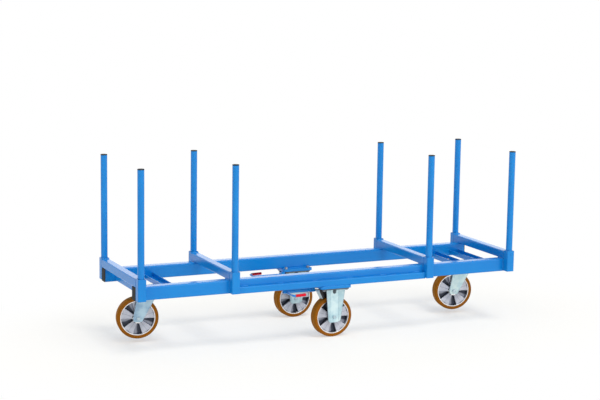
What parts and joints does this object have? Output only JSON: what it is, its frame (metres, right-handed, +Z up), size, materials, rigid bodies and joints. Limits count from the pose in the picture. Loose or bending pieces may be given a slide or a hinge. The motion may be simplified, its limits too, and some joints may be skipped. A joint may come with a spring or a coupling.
{
  "type": "long material cart",
  "caption": "Long flat cart for bars and tubes: box-tube frame with raised cross bearers, lift-out stakes, castors in a diamond and foot brakes.",
  "frame": {"origin": "on the floor under the middle of the cart, where the middle wheels stand", "axes": "+X along the rails towards the end that is on the right in the picture, +Y away from the near rail, +Z up"},
  "size_m": [2.5049, 0.722, 1.087],
  "materials": {
    "blue_paint": "gloss powder coat",
    "zinc_plate": "bright zinc plate",
    "cast_aluminium": "as cast, rim turned",
    "bearing_steel": "ground",
    "brown_polyurethane": "satin",
    "black_plastic": "matt",
    "black_paint": "satin",
    "red_plastic": "satin"
  },
  "bodies": {
    "frame": {"brake_blocks": "blue_paint", "castor_bolts": "zinc_plate", "castor_channels": "blue_paint", "castor_pads": "blue_paint", "cross_bearer_1": "blue_paint", "cross_bearer_2": "blue_paint", "cross_bearer_3": "blue_paint", "cross_bearer_4": "blue_paint", "fixed_axle_far": "zinc_plate", "fixed_axle_near": "zinc_plate", "fixed_bracket_far": "zinc_plate", "fixed_bracket_near": "zinc_plate", "kingpins": "zinc_plate", "rail_end_plugs": "black_plastic", "rail_far": "blue_paint", "rail_near": "blue_paint", "side_strip_far": "blue_paint", "side_strip_near": "blue_paint", "stake_pockets": "blue_paint", "swivel_plate_left": "zinc_plate", "swivel_plate_right": "zinc_plate"},
    "stake_near_1": {"stake_near_1": "blue_paint", "stake_cap_near_1": "black_plastic"},
    "stake_near_2": {"stake_near_2": "blue_paint", "stake_cap_near_2": "black_plastic"},
    "stake_near_3": {"stake_near_3": "blue_paint", "stake_cap_near_3": "black_plastic"},
    "stake_near_4": {"stake_near_4": "blue_paint", "stake_cap_near_4": "black_plastic"},
    "stake_far_1": {"stake_far_1": "blue_paint", "stake_cap_far_1": "black_plastic"},
    "stake_far_2": {"stake_far_2": "blue_paint", "stake_cap_far_2": "black_plastic"},
    "stake_far_3": {"stake_far_3": "blue_paint", "stake_cap_far_3": "black_plastic"},
    "stake_far_4": {"stake_far_4": "blue_paint", "stake_cap_far_4": "black_plastic"},
    "fork_left": {"swivel_fork_left": "zinc_plate", "swivel_axle_left": "zinc_plate"},
    "wheel_left": {"left_wheel_centre": "cast_aluminium", "left_tread": "brown_polyurethane", "left_wheel_bearings": "bearing_steel"},
    "fork_right": {"swivel_fork_right": "zinc_plate", "swivel_axle_right": "zinc_plate"},
    "wheel_right": {"right_wheel_centre": "cast_aluminium", "right_tread": "brown_polyurethane", "right_wheel_bearings": "bearing_steel"},
    "wheel_near": {"near_wheel_centre": "cast_aluminium", "near_tread": "brown_polyurethane", "near_wheel_bearings": "bearing_steel"},
    "crank_near": {"brake_crank_near": "blue_paint", "pedal_sleeve_near": "red_plastic", "brake_shoe_near": "black_paint"},
    "wheel_far": {"far_wheel_centre": "cast_aluminium", "far_tread": "brown_polyurethane", "far_wheel_bearings": "bearing_steel"},
    "crank_far": {"brake_crank_far": "blue_paint", "pedal_sleeve_far": "red_plastic", "brake_shoe_far": "black_paint"}
  },
  "joints": [
    {"name": "stake_near_1_lift", "type": "slide", "parent": "frame", "child": "stake_near_1", "axis": [0, 0, 1], "range_m": [0, 0.14]},
    {"name": "stake_near_2_lift", "type": "slide", "parent": "frame", "child": "stake_near_2", "axis": [0, 0, 1], "range_m": [0, 0.14]},
    {"name": "stake_near_3_lift", "type": "slide", "parent": "frame", "child": "stake_near_3", "axis": [0, 0, 1], "range_m": [0, 0.14]},
    {"name": "stake_near_4_lift", "type": "slide", "parent": "frame", "child": "stake_near_4", "axis": [0, 0, 1], "range_m": [0, 0.14]},
    {"name": "stake_far_1_lift", "type": "slide", "parent": "frame", "child": "stake_far_1", "axis": [0, 0, 1], "range_m": [0, 0.14]},
    {"name": "stake_far_2_lift", "type": "slide", "parent": "frame", "child": "stake_far_2", "axis": [0, 0, 1], "range_m": [0, 0.14]},
    {"name": "stake_far_3_lift", "type": "slide", "parent": "frame", "child": "stake_far_3", "axis": [0, 0, 1], "range_m": [0, 0.14]},
    {"name": "stake_far_4_lift", "type": "slide", "parent": "frame", "child": "stake_far_4", "axis": [0, 0, 1], "range_m": [0, 0.14]},
    {"name": "swivel_left", "type": "hinge", "parent": "frame", "child": "fork_left", "pos_m": [-1.063, 0, 0.3], "axis": [0, 0, 1], "continuous": true},
    {"name": "wheel_spin_left", "type": "hinge", "parent": "fork_left", "child": "wheel_left", "pos_m": [-1.1279, 0.01203, 0.148], "axis": [0.1822, 0.9833, 0], "continuous": true},
    {"name": "swivel_right", "type": "hinge", "parent": "frame", "child": "fork_right", "pos_m": [1.085, 0, 0.3], "axis": [0, 0, 1], "continuous": true},
    {"name": "wheel_spin_right", "type": "hinge", "parent": "fork_right", "child": "wheel_right", "pos_m": [1.02011, 0.01203, 0.148], "axis": [0.1822, 0.9833, 0], "continuous": true},
    {"name": "wheel_spin_near", "type": "hinge", "parent": "frame", "child": "wheel_near", "pos_m": [0.011, -0.278, 0.125], "axis": [0, 1, 0], "continuous": true},
    {"name": "brake_pedal_near", "type": "hinge", "parent": "frame", "child": "crank_near", "pos_m": [-0.2, -0.222, 0.2835], "axis": [1, 0, 0], "range_deg": [0, 8]},
    {"name": "wheel_spin_far", "type": "hinge", "parent": "frame", "child": "wheel_far", "pos_m": [0.011, 0.278, 0.125], "axis": [0, 1, 0], "continuous": true},
    {"name": "brake_pedal_far", "type": "hinge", "parent": "frame", "child": "crank_far", "pos_m": [-0.2, 0.222, 0.2835], "axis": [-1, 0, 0], "range_deg": [0, 8]}
  ]
}
